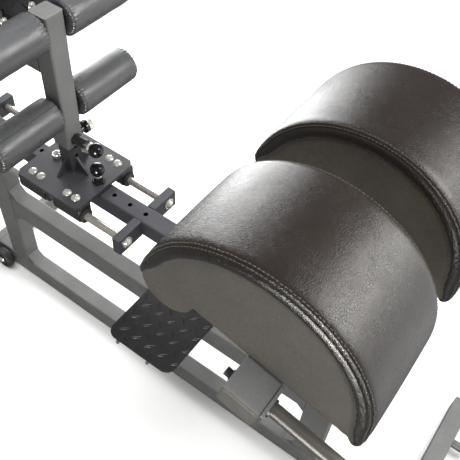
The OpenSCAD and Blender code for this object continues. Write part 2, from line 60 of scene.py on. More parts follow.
class Shader:
    """A principled material with short names for the nodes that shape it."""

    def __init__(self, name, color, rough, metallic=0.0, **sockets):
        self.mat = bpy.data.materials.new(name)
        self.mat.use_nodes = True
        self.mat.diffuse_color = (*color, 1)
        self.tree = self.mat.node_tree
        self.bsdf = self.tree.nodes["Principled BSDF"]
        self.bsdf.inputs["Base Color"].default_value = (*color, 1)
        self.bsdf.inputs["Roughness"].default_value = rough
        self.bsdf.inputs["Metallic"].default_value = metallic
        for key, value in sockets.items():
            self.bsdf.inputs[key.replace("_", " ")].default_value = value
        self.coord = self.node("ShaderNodeTexCoord").outputs["Object"]

    def node(self, kind, **settings):
        n = self.tree.nodes.new(kind)
        for key, value in settings.items():
            setattr(n, key, value)
        return n

    def put(self, socket, value):
        if hasattr(value, "is_linked"):
            self.tree.links.new(value, socket)
        else:
            socket.default_value = value

    def stretched(self, x, y, z):
        n = self.node("ShaderNodeMapping")
        self.put(n.inputs["Vector"], self.coord)
        n.inputs["Scale"].default_value = (x, y, z)
        return n.outputs["Vector"]

    def noise(self, scale, detail=2.0, rough=0.5, vector=None):
        n = self.node("ShaderNodeTexNoise")
        self.put(n.inputs["Vector"], vector or self.coord)
        n.inputs["Scale"].default_value = scale
        n.inputs["Detail"].default_value = detail
        n.inputs["Roughness"].default_value = rough
        return n.outputs["Fac"]

    def cells(self, scale, vector):
        """Distance to the nearest border between cells."""
        n = self.node("ShaderNodeTexVoronoi", feature="DISTANCE_TO_EDGE")
        self.put(n.inputs["Vector"], vector)
        n.inputs["Scale"].default_value = scale
        return n.outputs["Distance"]

    def warped(self, scale, amount):
        """Coordinates pushed about by noise, so that cells lose their straight edges."""
        n = self.node("ShaderNodeTexNoise")
        self.put(n.inputs["Vector"], self.coord)
        n.inputs["Scale"].default_value = scale
        off = self.node("ShaderNodeVectorMath", operation="MULTIPLY_ADD")
        self.put(off.inputs[0], n.outputs["Color"])
        off.inputs[1].default_value = (amount,) * 3
        self.put(off.inputs[2], self.coord)
        return off.outputs["Vector"]

    def span(self, value, low, high, to_low=0.0, to_high=1.0):
        n = self.node("ShaderNodeMapRange")
        self.put(n.inputs["Value"], value)
        for key, v in (("From Min", low), ("From Max", high), ("To Min", to_low), ("To Max", to_high)):
            n.inputs[key].default_value = v
        return n.outputs["Result"]

    def math(self, operation, a, b):
        n = self.node("ShaderNodeMath", operation=operation)
        self.put(n.inputs[0], a)
        self.put(n.inputs[1], b)
        return n.outputs["Value"]

    def mix(self, factor, a, b):
        n = self.node("ShaderNodeMix", data_type="RGBA")
        self.put(n.inputs["Factor"], factor)
        for socket, v in ((n.inputs["A"], a), (n.inputs["B"], b)):
            self.put(socket, (*v, 1) if isinstance(v, tuple) else v)
        return n.outputs["Result"]

    def edges(self, radius):
        """1 on convex edges and corners within radius, 0 on flat faces."""
        bevel = self.node("ShaderNodeBevel", samples=4)
        bevel.inputs["Radius"].default_value = radius
        geometry = self.node("ShaderNodeNewGeometry")
        dot = self.node("ShaderNodeVectorMath", operation="DOT_PRODUCT")
        self.put(dot.inputs[0], bevel.outputs["Normal"])
        self.put(dot.inputs[1], geometry.outputs["Normal"])
        return self.span(dot.outputs["Value"], 0.995, 0.85)

    def color(self, value):
        self.put(self.bsdf.inputs["Base Color"], value)

    def rough(self, value):
        self.put(self.bsdf.inputs["Roughness"], value)

    def bump(self, *layers):
        """Stacks (height, strength, distance) bumps, the first one lowest."""
        normal = None
        for height, strength, distance in layers:
            n = self.node("ShaderNodeBump")
            n.inputs["Strength"].default_value = strength
            n.inputs["Distance"].default_value = distance
            self.put(n.inputs["Height"], height)
            if normal:
                self.put(n.inputs["Normal"], normal)
            normal = n.outputs["Normal"]
        self.put(self.bsdf.inputs["Normal"], normal)


def tint(color, k):
    return tuple(min(1.0, c * k) for c in color)


def powder_coat(name, color, rough=0.42, grain=900):
    s = Shader(name, color, rough, Specular_IOR_Level=0.28)
    patch = s.span(s.noise(14, 4), 0.3, 0.7)
    dust = s.span(s.noise(240, 3), 0.45, 0.75)
    base = s.mix(patch, tint(color, 0.9), tint(color, 1.12))
    base = s.mix(s.math("MULTIPLY", dust, 0.18), base, tint(color, 1.7))
    wear = s.math("MULTIPLY", s.edges(0.0022), s.span(s.noise(60, 4), 0.35, 0.7, 0.15, 0.6))
    s.color(s.mix(wear, base, tint(color, 2.0)))
    s.rough(s.span(s.noise(36, 4), 0.3, 0.7, rough - 0.05, rough + 0.07))
    s.bump((s.noise(grain * 0.35, 2), 0.10, 0.0006), (s.noise(grain, 2), 0.22, 0.0004))
    return s.mat


def leather(name, color, rough, cell, depth, shine=0.5):
    """Pebbled hide: rounded cells of two sizes with creases between them, the creases darkened as painted
    shade.
    """
    s = Shader(name, color, rough, Specular_IOR_Level=shine)
    big = s.cells(1 / cell, s.warped(1 / (3 * cell), cell * 1.1))
    small = s.cells(2.1 / cell, s.warped(1 / cell, cell * 0.6))
    pebble = s.math("ADD", s.span(big, 0.0, 0.14), s.math("MULTIPLY", s.span(small, 0.0, 0.12), 0.25))
    tone = s.span(s.noise(9, 4), 0.3, 0.7)
    base = s.mix(tone, tint(color, 0.82), tint(color, 1.2))
    base = s.mix(s.span(s.noise(150, 3), 0.35, 0.75, 0.0, 0.5), base, tint(color, 1.5))
    # painted shade: the colour darkens in the creases between the cells, where shade falls
    s.color(s.mix(s.span(pebble, 0.1, 0.9, 0.55, 0.0), base, tint(color, 0.45)))
    s.rough(s.math("ADD", s.span(s.noise(22, 4), 0.3, 0.7, rough - 0.06, rough + 0.08),
                   s.span(pebble, 0.2, 1.0, 0.05, -0.01)))
    s.bump((s.noise(9, 2), 0.22, 0.006), (s.noise(60, 3), 0.12, 0.0012),
           (pebble, depth, 0.0005), (s.noise(1500, 2), 0.12, 0.0003))
    return s.mat


def metal(name, color, rough, brushed=(1, 1, 1), scratch=0.1, metallic=1.0):
    s = Shader(name, color, rough, metallic=metallic)
    lines = s.noise(700, 3, vector=s.stretched(*brushed))
    smudge = s.span(s.noise(30, 4), 0.35, 0.7)
    s.color(s.mix(smudge, tint(color, 0.92), tint(color, 1.05)))
    s.rough(s.math("ADD", s.span(smudge, 0, 1, rough, rough + 0.08), s.span(lines, 0.3, 0.7, -0.02, 0.05)))
    s.bump((lines, scratch, 0.0002))
    return s.mat


def plastic(name, color, rough, grain=1200, depth=0.15, coat=0.0):
    s = Shader(name, color, rough, Coat_Weight=coat, Coat_Roughness=0.05)
    tone = s.span(s.noise(40, 4), 0.3, 0.7)
    wear = s.math("MULTIPLY", s.edges(0.0015), 0.35)
    s.color(s.mix(wear, s.mix(tone, tint(color, 0.85), tint(color, 1.15)), tint(color, 2.6)))
    s.rough(s.span(s.noise(90, 3), 0.3, 0.7, max(0.03, rough - 0.03), rough + 0.07))
    s.bump((s.noise(grain, 2), depth, 0.0003))
    return s.mat


def wood(name, color):
    s = Shader(name, color, 0.6)
    rings = s.noise(16, 5, 0.6, vector=s.stretched(1, 14, 14))
    s.color(s.mix(s.span(rings, 0.3, 0.7), tint(color, 0.7), tint(color, 1.15)))
    s.bump((rings, 0.25, 0.0006))
    return s.mat


MATERIALS = {
    "frame_paint": powder_coat("frame_powder_coat", (0.105, 0.106, 0.104)),
    "carriage_paint": powder_coat("carriage_powder_coat", (0.036, 0.036, 0.041), rough=0.38),
    "handle_paint": powder_coat("handle_powder_coat", (0.062, 0.057, 0.051), rough=0.32),
    "tread_paint": powder_coat("tread_powder_coat", (0.012, 0.011, 0.012), rough=0.34, grain=1400),
    "chrome": metal("chrome_plate", (0.76, 0.75, 0.69), 0.16, scratch=0.05, metallic=0.72),
    "rail_chrome": metal("rail_chrome", (0.56, 0.53, 0.48), 0.18, brushed=(0.02, 1, 1),
                         scratch=0.02, metallic=0.8),
    "steel": metal("ground_steel", (0.56, 0.56, 0.55), 0.26, brushed=(1, 1, 0.05), scratch=0.25),
    "black_steel": plastic("black_oxide", (0.010, 0.010, 0.011), 0.30, depth=0.25),
    "block_plastic": plastic("block_moulding", (0.008, 0.008, 0.008), 0.36),
    "cap_plastic": plastic("cap_moulding", (0.02, 0.02, 0.021), 0.42, depth=0.25),
    "pale_plastic": plastic("pale_cap_moulding", (0.115, 0.108, 0.093), 0.42, depth=0.12),
    "knob_plastic": plastic("knob_polish", (0.004, 0.004, 0.005), 0.12, depth=0.02),
    "rubber": plastic("rubber_moulding", (0.018, 0.018, 0.018), 0.6, grain=900, depth=0.35),
    "pad_leather": leather("pad_hide", (0.0108, 0.0083, 0.0070), 0.22, 0.0038, 0.36),
    # painted light: a lighter, warmer copy of the hide for the end panels stands in for the floor's light on
    # them; its higher roughness is a surface property
    "pad_side_painted_light": leather("pad_side_painted_light_hide", (0.078, 0.067, 0.054), 0.55, 0.0038, 0.6, 0.3),
    "roller_vinyl": leather("roller_vinyl", (0.050, 0.051, 0.053), 0.30, 0.0016, 0.10),
    "core_plastic": plastic("core_extrusion", (0.03, 0.03, 0.03), 0.5),
    "thread": plastic("sewing_thread", (0.060, 0.050, 0.038), 0.45, grain=3000, depth=0.4),
    # painted shadow: near-black colour of the tubes laid in the seam grooves
    "seam": plastic("seam_fold_shadow", (0.004, 0.004, 0.004), 0.55),
    "plywood": wood("birch_ply", (0.48, 0.34, 0.2)),
}

slot_of = {s["node"]: s["material_slot"] for s in frame["record"]["subparts"]}
LOOK = {"left_rail": "rail_chrome", "right_rail": "rail_chrome", "tube_end_caps": "pale_plastic",
        "post_barrel": "black_steel", "index_barrel": "black_steel"}
EDGE = {"tube_end_caps": 2.2, "foot_end_caps": 2.2, "axle_caps": 1.2, "left_wheel": 1.5, "right_wheel": 1.5,
        "carriage_plate": 0.9, "bearing_blocks": 1.2, "rail_brackets": 1.0}
for name, obj in nodes.items():
    obj.data.materials.clear()
    obj.data.materials.append(MATERIALS[LOOK.get(name, slot_of[name])])
    ease = obj.modifiers.new("eased_edges", "BEVEL")
    ease.width = EDGE.get(name, 0.5) * MM
    ease.segments = 2
    ease.limit_method = "ANGLE"
    ease.angle_limit = radians(40)
    ease.harden_normals = True
    obj.data.shade_smooth()


# ---------------------------------------------------------------- mesh help

def mesh_piece(name, verts, faces, look):
    data = bpy.data.meshes.new(name)
    data.from_pydata([tuple(v) for v in verts], [], faces)
    data.validate()
    obj = bpy.data.objects.new(name, data)
    scene.collection.objects.link(obj)
    data.materials.append(MATERIALS[look])
    data.shade_smooth()
    return obj


def fix_normals(obj):
    bm = bmesh.new()
    bm.from_mesh(obj.data)
    bmesh.ops.recalc_face_normals(bm, faces=bm.faces)
    bm.to_mesh(obj.data)
    bm.free()


def settle(obj, body, slot, *replaced):
    """Hands a finished piece to the frame."""
    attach(obj, body)
    if replaced:
        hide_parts(*replaced)
    return obj


def body_of(node):
    return next(b for b, members in frame["record"]["behaviour"]["bodies"].items() if node in members)


def apply_modifiers(obj):
    """Turns the evaluated mesh into the piece's own."""
    bpy.context.view_layer.update()
    graph = bpy.context.evaluated_depsgraph_get()
    data = bpy.data.meshes.new_from_object(obj.evaluated_get(graph))
    old = obj.data
    obj.modifiers.clear()
    obj.data = data
    bpy.data.meshes.remove(old)


def coords(obj):
    out = np.empty(len(obj.data.vertices) * 3)
    obj.data.vertices.foreach_get("co", out)
    return out.reshape(-1, 3)


def set_coords(obj, points):
    obj.data.vertices.foreach_set("co", points.ravel())
    obj.data.update()


def swell(obj, pinned, pressure, cap, frames=20, stiffness=15.0):
    """Inflates a closed mesh as cloth, then lets no point move further than cap."""
    start = coords(obj)
    group = obj.vertex_groups.new(name="held")
    for weight in sorted(set(pinned.values())):
        group.add([i for i, w in pinned.items() if w == weight], weight, "REPLACE")
    cloth = obj.modifiers.new("cloth", "CLOTH")
    s = cloth.settings
    s.quality = 5
    s.mass = 0.4
    s.use_pressure = True
    s.uniform_pressure_force = pressure
    s.tension_stiffness = stiffness
    s.compression_stiffness = stiffness
    s.shear_stiffness = stiffness / 2
    s.bending_stiffness = 1.0
    s.vertex_group_mass = group.name
    s.pin_stiffness = 1.0
    s.effector_weights.gravity = 0.0
    cloth.collision_settings.use_collision = False
    cloth.point_cache.frame_start = 1
    cloth.point_cache.frame_end = frames
    for f in range(1, frames + 1):
        scene.frame_set(f)
    apply_modifiers(obj)
    scene.frame_set(1)
    obj.vertex_groups.clear()
    moved = coords(obj) - start
    length = np.linalg.norm(moved, axis=1, keepdims=True)
    soft_cap = cap * np.tanh(length / cap) / np.maximum(length, 1e-9)
    set_coords(obj, start + moved * soft_cap)


def surface_tree(obj):
    return BVHTree.FromPolygons([v.co for v in obj.data.vertices], [p.vertices for p in obj.data.polygons])


def subdivide(obj):
    m = obj.modifiers.new("smooth", "SUBSURF")
    m.levels = 1
    m.render_levels = 1
    apply_modifiers(obj)
    obj.data.shade_smooth()


# ---------------------------------------------------------------- thigh pads

ROLL_R = 20 * MM          # rounded border of a pad, where it is sewn
EDGE_R = 3 * MM           # its border along the base and under the nose
SEAM_AT = radians(52)     # where on that round the seam lies
PAD_GROW = 3 * MM         # the cover over the foam, outside the plain solid
PAD_RECESS = 6 * MM       # how far the end panel sits inside its border
PAD_EASE = 14 * MM        # width of the step from border to panel
END_DEPTH = 30 * MM       # how far into the pad that step reaches
PAD_VOXEL = 5 * MM
OUTLINE_STEP = 5.5 * MM
GROOVE_REACH = 6 * MM     # half the width of the groove along a seam
GROOVE_DEPTH = 2.4 * MM


def side_outline(node, y, tolerance=0.2 * MM):
    """The closed outline of a CAD node's flat side at that y, as (x, z) points in order."""
    data = nodes[node].data
    flat = [i for i, v in enumerate(data.vertices) if abs(v.co.y - y) < tolerance]
    key = {i: (round(data.vertices[i].co.x, 5), round(data.vertices[i].co.z, 5)) for i in flat}
    count = {}
    for p in data.polygons:
        if all(i in key for i in p.vertices):
            ring = [key[i] for i in p.vertices]
            for a, b in zip(ring, ring[1:] + ring[:1]):
                if a != b:
                    count[(a, b)] = count.get((a, b), 0) + 1
    border = {a: b for (a, b) in count if (b, a) not in count}
    loops = []
    while border:
        first = next(iter(border))
        loop = [first]
        nxt = border.pop(first)
        while nxt != first and nxt in border:
            loop.append(nxt)
            nxt = border.pop(nxt)
        loops.append(loop)
    return max(loops, key=len)


def resampled(loop, step):
    pts = np.array(loop + loop[:1], float)
    seg = np.hypot(*np.diff(pts, axis=0).T)
    along = np.concatenate([[0], np.cumsum(seg)])
    count = int(ceil(along[-1] / step))
    t = np.linspace(0, along[-1], count, endpoint=False)
    return np.stack([np.interp(t, along, pts[:, k]) for k in (0, 1)], 1)


def inward(points):
    """Unit normals of a closed outline, pointing inside."""
    d = np.roll(points, -1, 0) - np.roll(points, 1, 0)
    n = np.stack([-d[:, 1], d[:, 0]], 1)
    n /= np.linalg.norm(n, axis=1, keepdims=True)
    area = np.sum(points[:, 0] * np.roll(points[:, 1], -1) - np.roll(points[:, 0], -1) * points[:, 1])
    return n if area > 0 else -n


def smoothstep(x):
    x = np.clip(x, 0, 1)
    return x * x * (3 - 2 * x)


class PadShape:
    """Outline of a pad from its CAD solid, split into the flat base and the sewn band."""

    def __init__(self, node):
        low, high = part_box(node)
        self.mid = (low.y + high.y) / 2
        self.half = (high.y - low.y) / 2
        loop = side_outline(node, high.y)
        ends = max(zip(loop, loop[1:] + loop[:1]), key=lambda e: hypot(e[1][0] - e[0][0], e[1][1] - e[0][1]))
        a, b = sorted(ends)                       # a: by the nose, b: by the toe
        self.base_a, self.base_b = np.array(a), np.array(b)
        self.axis = (self.base_b - self.base_a) / np.linalg.norm(self.base_b - self.base_a)
        self.up = np.array([-self.axis[1], self.axis[0]])
        self.points = resampled(loop, OUTLINE_STEP)
        self.normals = inward(self.points)
        along = (self.points - self.base_a) @ self.axis
        height = (self.points - self.base_a) @ self.up
        length = (self.base_b - self.base_a) @ self.axis
        self.on_base = (np.abs(height) < 0.6 * MM) & (along > -1 * MM) & (along < length + 1 * MM)
        under_nose = (height < 12 * MM) & (along > -60 * MM) & (along < 0.9 * length)
        sewn = np.where(self.on_base | under_nose, 0.0, smoothstep((height + 5 * MM) / (70 * MM)))
        self.sewn = sewn > 0.03
        self.round = EDGE_R + (ROLL_R - EDGE_R) * sewn

    def band(self):
        """Sewn outline points in order, from the nose to the toe."""
        n = len(self.points)
        first = next(i for i in range(n) if self.sewn[i] and not self.sewn[i - 1])
        order = [(first + k) % n for k in range(n)]
        return [i for i in order if self.sewn[i]]

    def border(self, a):
        """Points and distances from the middle of the border's round at angle a."""
        cover = np.where(self.on_base, 0.0, PAD_GROW)
        ring = self.points + self.normals * (self.round * (1 - cos(a)) - cover)[:, None]
        return ring, self.half - self.round * (1 - sin(a))

    def behind_border(self, pts):
        """How far each point lies beyond the sewn border, seen from the side."""
        flat = pts[:, [0, 2]]
        out = np.full(len(flat), 1.0)
        for p, r in zip(self.points[self.sewn], self.round[self.sewn]):
            out = np.minimum(out, np.hypot(*(flat - p).T) - r)
        return out


def pad_blank(shape):
    """Closed start mesh of a pad: band, rounded border and flat ends."""
    rings = [(shape.border(0)[0], (shape.half - shape.round) * f) for f in np.linspace(0, 1, 13)]
    rings += [shape.border(k / 5 * pi / 2) for k in range(1, 6)]
    rings = [(p, -y) for p, y in reversed(rings[1:])] + rings
    n = len(shape.points)
    verts = [(p[i][0], shape.mid + y[i], p[i][1]) for p, y in rings for i in range(n)]
    faces = []
    for r in range(len(rings) - 1):
        for i in range(n):
            j = (i + 1) % n
            faces.append((r * n + i, r * n + j, (r + 1) * n + j, (r + 1) * n + i))
    faces.append(tuple(range(n))[::-1])
    faces.append(tuple((len(rings) - 1) * n + i for i in range(n)))
    return verts, faces


def recess_ends(shape, pts, beyond):
    """Moves the end panels inward behind their sewn border."""
    out = np.abs(pts[:, 1] - shape.mid) - (shape.half - END_DEPTH)
    dip = PAD_RECESS * smoothstep(beyond / PAD_EASE) * smoothstep(out / (END_DEPTH - 2 * EDGE_R))
    pts[:, 1] -= np.sign(pts[:, 1] - shape.mid) * dip


def seam_path(shape, side):
    """Points along the seam, part way round the border between band and end panel."""
    ring, y = shape.border(SEAM_AT)
    return [Vector((ring[i][0], shape.mid + side * y[i], ring[i][1])) for i in shape.band()]


def distance_to_lines(points, lines):
    """Distance from each point to the nearest line, along chords that skip every second point."""
    out = np.full(len(points), 1.0)
    for line in lines:
        p = np.array(line)
        for a, b in zip(p[:-1:2], p[2::2]):
            ab = b - a
            t = np.clip(((points - a) @ ab) / (ab @ ab), 0, 1)
            out = np.minimum(out, np.linalg.norm(points - (a + t[:, None] * ab), axis=1))
    return out


def build_pad(node, name):
    """The cover of a pad: an even mesh, swollen, with a groove along each seam."""
    shape = PadShape(node)
    verts, faces = pad_blank(shape)
    pad = mesh_piece(name, verts, faces, "pad_leather")
    fix_normals(pad)
    lines = [seam_path(shape, s) for s in (LEFT, RIGHT)]
    even = pad.modifiers.new("even", "REMESH")
    even.mode = "VOXEL"
    even.voxel_size = PAD_VOXEL
    apply_modifiers(pad)
    pts = coords(pad)
    beyond = shape.behind_border(pts)
    recess_ends(shape, pts, beyond)
    set_coords(pad, pts)
    near = distance_to_lines(pts, lines)
    height = (pts[:, [0, 2]] - shape.base_a) @ shape.up
    along = (pts[:, [0, 2]] - shape.base_a) @ shape.axis
    held = {}
    for i in range(len(pts)):
        if height[i] < 8 * MM and along[i] > 0:
            held[i] = 1.0
        elif near[i] < 5 * MM:
            held[i] = 0.9
        elif beyond[i] > PAD_EASE / 2:
            held[i] = 0.7
    swell(pad, held, 7.0, 8 * MM)
    subdivide(pad)
    pts = coords(pad)
    near = distance_to_lines(pts, lines)
    bm = bmesh.new()
    bm.from_mesh(pad.data)
    bm.normal_update()
    for v in bm.verts:                            # shallow groove that the seam lies in
        d = near[v.index]
        if d < GROOVE_REACH:
            v.co -= v.normal * GROOVE_DEPTH * (1 - d / GROOVE_REACH) ** 2
    bm.to_mesh(pad.data)
    bm.free()
    # the end panels take the lighter copy of the hide, which paints in the light that falls on them
    pad.data.materials.append(MATERIALS["pad_side_painted_light"])
    at_end = np.abs(pts[:, 1] - shape.mid) > shape.half - END_DEPTH
    panel = at_end & (shape.behind_border(pts) > PAD_EASE * 0.2)
    for p in pad.data.polygons:
        p.material_index = int(abs(p.normal.y) > 0.5 and all(panel[i] for i in p.vertices))
    pad.data.shade_smooth()
    return pad, shape, lines


# ---------------------------------------------------------------- seams and stitches

def surface_points(obj, line, step, side_step=0.0):
    """(point, direction, normal) at even steps along a line, dropped on the piece's surface.
    side_step moves them across the line along Y."""
    tree = surface_tree(obj)
    pts = np.array([tuple(p) for p in line])
    pts[:, 1] += side_step
    seg = np.linalg.norm(np.diff(pts, axis=0), axis=1)
    along = np.concatenate([[0], np.cumsum(seg)])
    t = np.arange(step / 2, along[-1], step)
    even = np.stack([np.interp(t, along, pts[:, k]) for k in range(3)], 1)
    found = []
    for p in even:
        hit, normal, _, _ = tree.find_nearest(Vector(p))
        found.append((hit, normal))
    out = []
    for k, (p, normal) in enumerate(found):
        d = found[min(k + 1, len(found) - 1)][0] - found[max(k - 1, 0)][0]
        out.append((p, d.normalized(), normal))
    return out


def tube_mesh(points, radius, sides=6, closed=False):
    """Verts and faces of a tube along (point, direction, normal) triples.
    radius may be a function of the index."""
    verts, faces = [], []
    for k, (p, d, normal) in enumerate(points):
        across = d.cross(normal).normalized()
        up = across.cross(d).normalized()
        r = radius(k) if callable(radius) else radius
        for j in range(sides):
            a = tau * j / sides
            verts.append(p + (across * cos(a) + up * sin(a)) * r)
    rows = len(points)
    for k in range(rows if closed else rows - 1):
        for j in range(sides):
            a, b = k * sides + j, k * sides + (j + 1) % sides
            c, d = ((k + 1) % rows) * sides + (j + 1) % sides, ((k + 1) % rows) * sides + j
            faces.append((a, b, c, d))
    if not closed:
        faces.append(tuple(range(sides))[::-1])
        faces.append(tuple((rows - 1) * sides + j for j in range(sides)))
    return verts, faces


def seam_shadow_cord(name, obj, line, body, slot, radius):
    """A thin near-black tube along a line on the piece: painted shadow in the seam's groove, over the real
    seam it marks.
    """
    verts, faces = tube_mesh(surface_points(obj, line, 4 * MM), radius)
    return settle(mesh_piece(name, verts, faces, "seam"), body, slot)


def stitches(name, obj, lines, middle, offsets, body, pitch=7.5 * MM, length=5.2 * MM, radius=0.75 * MM):
    """Rows of short threads that dive into the surface at both ends, on the band's side of each seam."""
    verts, faces = [], []
    for line in lines:
        toward = 1 if middle > line[0].y else -1
        for off in offsets:
            for p, d, normal in surface_points(obj, line, pitch, toward * off):
                arc = []
                for k in range(5):
                    t = k / 4 - 0.5
                    arc.append((p + d * (t * length) + normal * (radius * (0.9 - 5.2 * t * t)), d, normal))
                v, f = tube_mesh(arc, radius, 5)
                base = len(verts)
                verts += v
                faces += [tuple(i + base for i in q) for q in f]
    return settle(mesh_piece(name, verts, faces, "thread"), body, "pad_leather")


def mirrored_copy(obj, name):
    """A copy of the piece on the other side of the plane y = 0."""
    data = obj.data.copy()
    data.transform(Matrix.Diagonal((1, -1, 1, 1)))
    data.flip_normals()
    out = bpy.data.objects.new(name, data)
    scene.collection.objects.link(out)
    return out


def make_pads():
    right, shape, lines = build_pad("right_pad", "right_thigh_pad")
    left = mirrored_copy(right, "left_thigh_pad")
    settle(right, "root", "pad_leather", "right_pad")
    settle(left, "root", "pad_leather", "left_pad")
    mirror = [[Vector((p.x, -p.y, p.z)) for p in line] for line in lines]
    for pad, sewn, side in ((right, lines, "right"), (left, mirror, "left")):
        for k, line in enumerate(sewn):
            seam_shadow_cord(f"{side}_pad_seam_{k}", pad, line, "root", "pad_leather", 0.9 * MM)
        middle = shape.mid if side == "right" else -shape.mid
        stitches(f"{side}_pad_stitches", pad, sewn, middle, (4 * MM, 9 * MM), "root")


# ---------------------------------------------------------------- ankle rollers

ROLLER_SIDES = 72
PLEATS = 30
PLEAT_REACH = 22 * MM     # how far the pleats run from each end
SEAM_ANGLE = {"upper_left_roller": radians(200), "upper_right_roller": radians(215),
              "lower_left_roller": radians(230), "lower_right_roller": radians(62)}


def roller_blank(length, radius, core):
    """(distance along, radius) of a sleeve whose ends are gathered round the core."""
    round_r = 9 * MM
    rows = [(5 * MM, core + 1.5 * MM), (2.2 * MM, core + 5 * MM), (1 * MM, core + 10 * MM)]
    rows += [(round_r * (1 - sin(a)) + 0.5 * MM, radius - round_r * (1 - cos(a)))
             for a in (radians(75), radians(55), radians(35), radians(17), 0)]
    inner = np.linspace(round_r + 5 * MM, length / 2, 15)
    rows += [(float(t), radius) for t in inner]
    return rows + [(length - t, r) for t, r in reversed(rows[:-1])]


def build_roller(name, node):
    low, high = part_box(node)
    centre = (low + high) / 2
    length = high.y - low.y
    radius = (high.x - low.x) / 2
    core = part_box(node.replace("roller", "core"))
    core_r = (core[1].x - core[0].x) / 2
    rows = roller_blank(length, radius - 1.2 * MM, core_r)
    verts, faces = [], []
    for t, r in rows:
        for j in range(ROLLER_SIDES):
            a = tau * j / ROLLER_SIDES
            verts.append((r * cos(a), t - length / 2, r * sin(a)))
    n = ROLLER_SIDES
    for k in range(len(rows) - 1):
        for j in range(n):
            faces.append((k * n + j, k * n + (j + 1) % n, (k + 1) * n + (j + 1) % n, (k + 1) * n + j))
    faces.append(tuple(range(n)))
    faces.append(tuple((len(rows) - 1) * n + j for j in range(n)))
    roller = mesh_piece(name, verts, faces, "roller_vinyl")
    fix_normals(roller)
    return roller, centre, length, radius, core_r


def gather(roller, length, radius, core_r, seed):
    """Pleats on both ends, and the slight unevenness of a sleeve pulled over foam."""
    pts = coords(roller)
    for i, (x, y, z) in enumerate(pts):
        r = hypot(x, z)
        a = atan2(z, x)
        end = length / 2 - abs(y)
        out = Vector((x, 0, z)).normalized() if r > 1e-6 else Vector((0, 0, 0))
        if r < core_r + 0.5 * MM:
            continue
        share = max(0.0, 1 - end / PLEAT_REACH)
        wobble = noise.noise(Vector((3 * cos(a), 3 * sin(a), seed)))
        fold = sin(PLEATS * a + 5 * wobble)
        depth = share * (0.35 + 0.65 * (1 - (r - core_r) / (radius - core_r)))
        pts[i][1] -= (1 if y > 0 else -1) * 3.6 * MM * depth * (0.5 + 0.5 * fold)
        dent = noise.noise(Vector((x, y, z)) * 28 + Vector((0, 0, seed * 7)))
        shrink = 2.2 * MM * share * (0.5 + 0.5 * fold) - 0.6 * MM * dent * (1 - share)
        pts[i][0] -= out.x * shrink
        pts[i][2] -= out.z * shrink
    set_coords(roller, pts)


def make_rollers():
    for k, (height, side) in enumerate((h, s) for h in ("upper", "lower") for s in ("left", "right")):
        node = f"{height}_{side}_roller"
        roller, centre, length, radius, core_r = build_roller(f"{height}_{side}_sleeve", node)
        pts = coords(roller)
        held = {i: 1.0 for i, p in enumerate(pts) if hypot(p[0], p[2]) < core_r + 6 * MM}
        swell(roller, held, 3.0, 1.0 * MM, frames=10)
        subdivide(roller)
        gather(roller, length, radius, core_r, 1.7 * k + 0.3)
        roller.data.transform(Matrix.Translation(centre))
        body = body_of(node)
        settle(roller, body, "roller_vinyl", node)
        angle = SEAM_ANGLE[node]
        line = [centre + Vector((radius * cos(angle), t, radius * sin(angle)))
                for t in np.linspace(-length / 2 + 12 * MM, length / 2 - 12 * MM, 24)]
        seam_shadow_cord(f"{height}_{side}_sleeve_seam", roller, line, body, "roller_vinyl", 0.55 * MM)


# ---------------------------------------------------------------- tread plates

TREAD_LEN, TREAD_W, TREAD_H = 31 * MM, 6.4 * MM, 1.7 * MM
TREAD_PITCH = (42.4 * MM, 44.9 * MM)
TREAD_ANGLES = (radians(-48), radians(40))
TREAD_MARGIN = 20 * MM    # how far past the plate a bar's centre may lie
PROBE_HEIGHT = 10 * MM    # from where the plate's face is felt for
BAR_SECTION = ((-1, -0.2), (-0.72, 0.55), (-0.3, 0.93), (0.3, 0.93), (0.72, 0.55), (1, -0.2))


def lozenge(centre, angle, on_face):
    """One raised bar of a tread plate, cut where the plate's face ends."""
    d = np.array([cos(angle), sin(angle)])
    n = np.array([-d[1], d[0]])
    stations = [t for t in np.linspace(-1, 1, 15)
                if all(on_face(*(centre + d * t * TREAD_LEN / 2 + n * w)) for w in (-3 * MM, 3 * MM))]
    if len(stations) < 5 or stations[-1] - stations[0] > 0.16 * (len(stations) - 1):
        return [], []
    verts, faces = [], []
    for t in stations:
        w = TREAD_W / 2 * (1 - t * t) ** 0.75 + 0.15 * MM
        h = TREAD_H * (1 - t * t) ** 0.5
        mid = centre + d * t * TREAD_LEN / 2
        for across, up in BAR_SECTION:
            p = mid + n * w * across
            verts.append((p[0], p[1], h * up if up > 0 else -0.3 * MM))
    for k in range(len(stations) - 1):
        for j in range(5):
            faces.append((k * 6 + j, k * 6 + j + 1, (k + 1) * 6 + j + 1, (k + 1) * 6 + j))
        faces.append((k * 6 + 5, k * 6, (k + 1) * 6, (k + 1) * 6 + 5))
    faces.append(tuple(range(6))[::-1])
    faces.append(tuple((len(stations) - 1) * 6 + j for j in range(6)))
    return verts, faces


